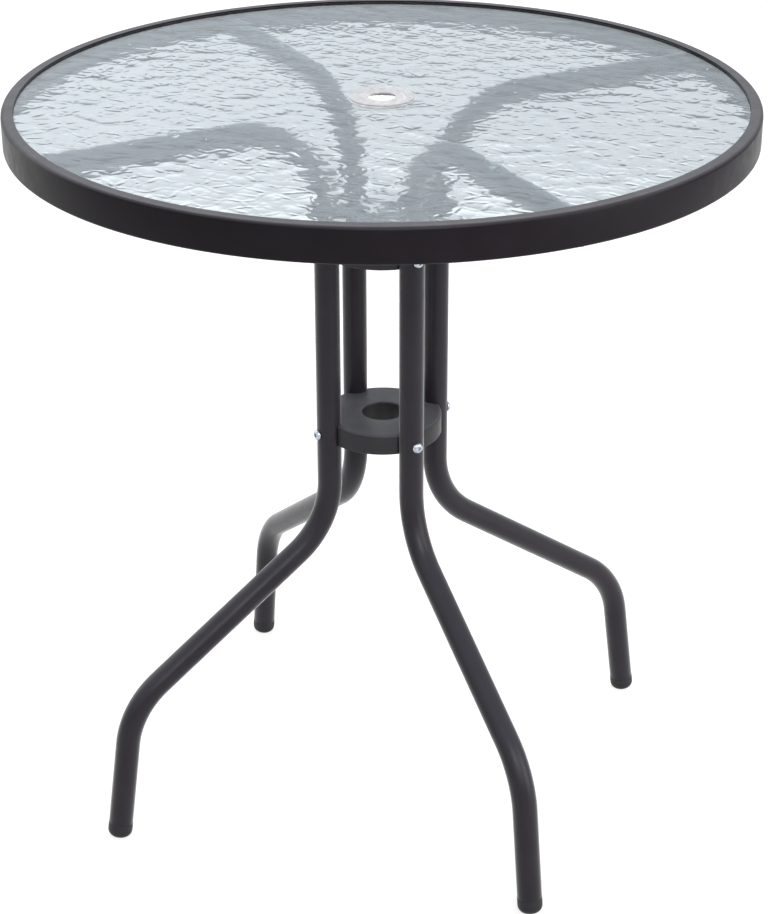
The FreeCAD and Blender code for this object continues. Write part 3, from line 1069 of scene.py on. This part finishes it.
def paintedThroughGlassGlow(tree, distance):
    # Painted light and shade: the floor's glow through the glass rises and falls in bands with distance
    fading = put(tree, "ShaderNodeValToRGB", {0: sums(tree, "DIVIDE", distance, studio["floorRadius"])})
    stops = fading.color_ramp.elements
    while len(stops) < len(studio["paintedLightAndShadeThroughGlass"]):
        stops.new(1.0)
    for stop, (reach, strength) in zip(stops, studio["paintedLightAndShadeThroughGlass"]):
        stop.position = reach / studio["floorRadius"]
        stop.color = (strength, strength, strength, 1)
    return fading.outputs[0]


def makeFloor():
    shape = bmesh.new()
    bmesh.ops.create_circle(shape, cap_ends=True, segments=studio["floorSteps"], radius=studio["floorRadius"])
    floor = addPiece("floor", finishedMesh("floor", shape))
    material, tree = newMaterial("paleFloor")[:2]
    tree.nodes.clear()
    plain = put(tree, "ShaderNodeBsdfDiffuse", {"Color": (*[studio["floorShade"]] * 3, 1)}).outputs[0]
    shadowed = put(tree, "ShaderNodeBsdfDiffuse", {"Color": (*[studio["floorSeen"]] * 3, 1)}).outputs[0]
    distance = lengthOf(tree, ownPlace(tree))
    white = mapped(tree, distance, studio["floorSpan"], studio["floorGlow"])
    # Through the glass the floor shows the painted bands of light and shade instead of its plain glow
    through = put(tree, "ShaderNodeLightPath").outputs["Is Transmission Ray"]
    glow = put(tree, "ShaderNodeEmission", {
        "Color": (1, 1, 1, 1), "Strength": blend(tree, through, white, paintedThroughGlassGlow(tree, distance))})
    bright = put(tree, "ShaderNodeAddShader", {0: shadowed, 1: glow.outputs[0]}).outputs[0]
    fromAbove = put(tree, "ShaderNodeMixShader", {0: seenDirectly(tree), 1: plain, 2: bright}).outputs[0]
    # Clear from below, so that the underside of the table can be looked at
    clear = put(tree, "ShaderNodeBsdfTransparent").outputs[0]
    below = put(tree, "ShaderNodeNewGeometry").outputs["Backfacing"]
    oneSided = put(tree, "ShaderNodeMixShader", {0: below, 1: fromAbove, 2: clear})
    put(tree, "ShaderNodeOutputMaterial", {"Surface": oneSided.outputs[0]})
    paint(floor, material)


def makeWorld():
    world = bpy.data.worlds.new("studio")
    scene.world = world
    world.use_nodes = True
    tree = world.node_tree
    tree.nodes.clear()
    path = put(tree, "ShaderNodeLightPath").outputs
    shown = blend(tree, path["Is Camera Ray"], studio["ambient"], 1.0)
    # Through the glass the world is darkened, a painted shade
    direct = blend(tree, path["Is Transmission Ray"], shown, studio["shadedWorldThroughGlass"])
    # Reflections show a wall that gets lighter upwards and to the left
    ray = ownPlace(tree)
    wall = mapped(tree, heightOf(tree, ray), (0.0, studio["wallTop"]), studio["wall"])
    leftwards = put(tree, "ShaderNodeVectorMath", {0: ray, 1: studio["leftOfShot"]}, operation="DOT_PRODUCT")
    slope = mapped(tree, leftwards.outputs["Value"], (-studio["wallSides"], studio["wallSides"]),
                   (1 - studio["wallSlope"], 1 + studio["wallSlope"]))
    mirrored = sums(tree, "MULTIPLY", wall, slope)
    strength = blend(tree, path["Is Glossy Ray"], direct, mirrored)
    colour = blendColours(tree, path["Is Glossy Ray"], (1, 1, 1), studio["wallColour"])
    backdrop = put(tree, "ShaderNodeBackground", {"Color": colour, "Strength": strength})
    put(tree, "ShaderNodeOutputWorld", {"Surface": backdrop.outputs[0]})


def keepFromLamps(piece):
    # Light linking leaves the glass out, or it would mirror the lamps as hard-edged panels
    receivers = bpy.data.collections.new("mirrorsNoLamps")
    receivers.objects.link(piece)
    receivers.collection_objects[0].light_linking.link_state = "EXCLUDE"
    return receivers


def addLamp(lampName, place, size, power, receivers):
    lamp = bpy.data.lights.new(lampName, "AREA")
    lamp.shape = "RECTANGLE"
    lamp.size, lamp.size_y = size
    lamp.energy = power
    holder = bpy.data.objects.new(lampName, lamp)
    scene.collection.objects.link(holder)
    holder.light_linking.receiver_collection = receivers
    holder.location = place
    aim = Vector(studio["middle"]) - Vector(place)
    holder.rotation_euler = aim.to_track_quat("-Z", "Y").to_euler()


makeFloor()
makeWorld()
noLamps = keepFromLamps(hammeredPane)
for lampSettings in lamps:
    addLamp(*lampSettings, noLamps)

shot = {
    "focal": 2270.1,                # in pixels of the 914 high frame
    "frameHeight": 914,
    "sensor": 36.0,
    "distance": 2.2679,
    "elevation": 26.104,
    "azimuth": 17.266,
    "roll": -0.16,
    "aim": (0.00101, 0.35484),      # sideways and up
}


def makeCamera():
    data = bpy.data.cameras.new("camera")
    data.sensor_width = shot["sensor"]
    data.lens = shot["focal"] * shot["sensor"] / shot["frameHeight"]
    camera = bpy.data.objects.new("camera", data)
    scene.collection.objects.link(camera)
    tilt = math.radians(shot["elevation"])
    roll = math.radians(shot["roll"])
    back = Vector((0, -math.cos(tilt), math.sin(tilt)))
    right = Vector((1, 0, 0))
    up = Vector((0, math.sin(tilt), math.cos(tilt)))
    sideways = right * math.cos(roll) + up * math.sin(roll)
    upward = up * math.cos(roll) - right * math.sin(roll)
    turn = Matrix.Rotation(math.radians(shot["azimuth"]), 4, "Z")
    axes = Matrix((sideways, upward, back)).transposed().to_4x4()
    place = Vector((shot["aim"][0], 0, shot["aim"][1])) + back * shot["distance"]
    camera.matrix_world = turn @ Matrix.Translation(place) @ axes
    scene.camera = camera


makeCamera()
scene.view_settings.view_transform = "Standard"
print("floor, light and camera made")
